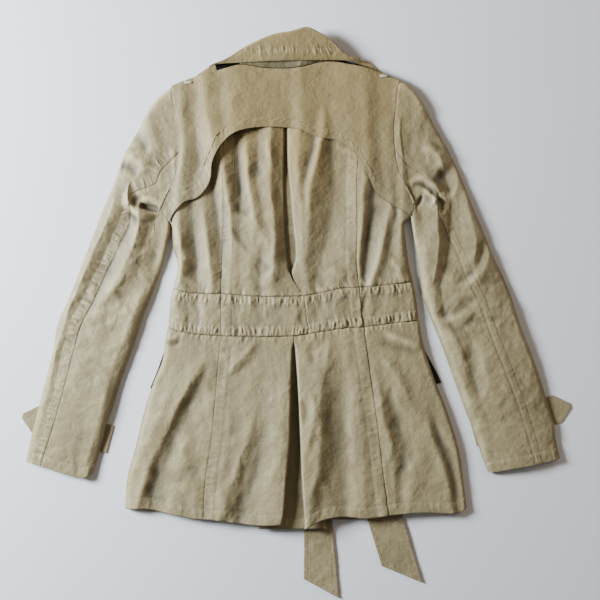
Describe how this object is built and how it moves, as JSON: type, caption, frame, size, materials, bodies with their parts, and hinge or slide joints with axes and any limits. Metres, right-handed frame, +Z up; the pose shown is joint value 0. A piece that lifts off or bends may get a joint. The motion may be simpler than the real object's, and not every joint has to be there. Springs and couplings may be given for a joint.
{
  "type": "trench coat",
  "caption": "Short belted trench coat laid flat, face down: princess-seamed back with a storm flap, waistband, flared skirt with a pleat, wide collar, strapped sleeves and a tie belt.",
  "frame": {"origin": "centre of the bounding box's base, on the surface the coat lies on", "axes": "+Z up, away from the surface and out of the coat's back; +Y towards the collar; +X to the right as the back is seen from above"},
  "size_m": [0.8821, 0.9114, 0.0257],
  "materials": {
    "gabardine": "stone-coloured cotton twill, matt",
    "button": "brown horn-look resin",
    "pocketing": "black pocket cotton"
  },
  "bodies": {
    "root": {"back_left_side": "gabardine", "back_left": "gabardine", "back_right": "gabardine", "back_right_side": "gabardine", "waist_left_side": "gabardine", "waist_left": "gabardine", "waist_right": "gabardine", "waist_right_side": "gabardine", "skirt_left_side": "gabardine", "skirt_left": "gabardine", "skirt_right": "gabardine", "skirt_right_side": "gabardine", "back_pleat": "gabardine", "skirt_pleat": "gabardine", "storm_flap": "gabardine", "sleeve_left_top": "gabardine", "sleeve_left_under": "gabardine", "sleeve_right_top": "gabardine", "sleeve_right_under": "gabardine", "front_left": "gabardine", "waist_front_left": "gabardine", "skirt_front_left": "gabardine", "front_right": "gabardine", "waist_front_right": "gabardine", "skirt_front_right": "gabardine", "lapel_left": "gabardine", "lapel_right": "gabardine", "collar_point_left": "gabardine", "collar_point_right": "gabardine", "belt_left": "gabardine", "belt_right": "gabardine", "belt_knot": "gabardine", "belt_end_left": "gabardine", "belt_end_right": "gabardine", "pocket_welt_left": "pocketing", "pocket_welt_right": "pocketing", "cuff_strap_left": "gabardine", "cuff_strap_right": "gabardine", "button_1": "button", "button_2": "button", "button_3": "button", "button_4": "button", "collar_fall": "gabardine", "collar_stand": "gabardine", "shoulder_loop_left": "gabardine", "shoulder_loop_right": "gabardine"}
  },
  "joints": []
}
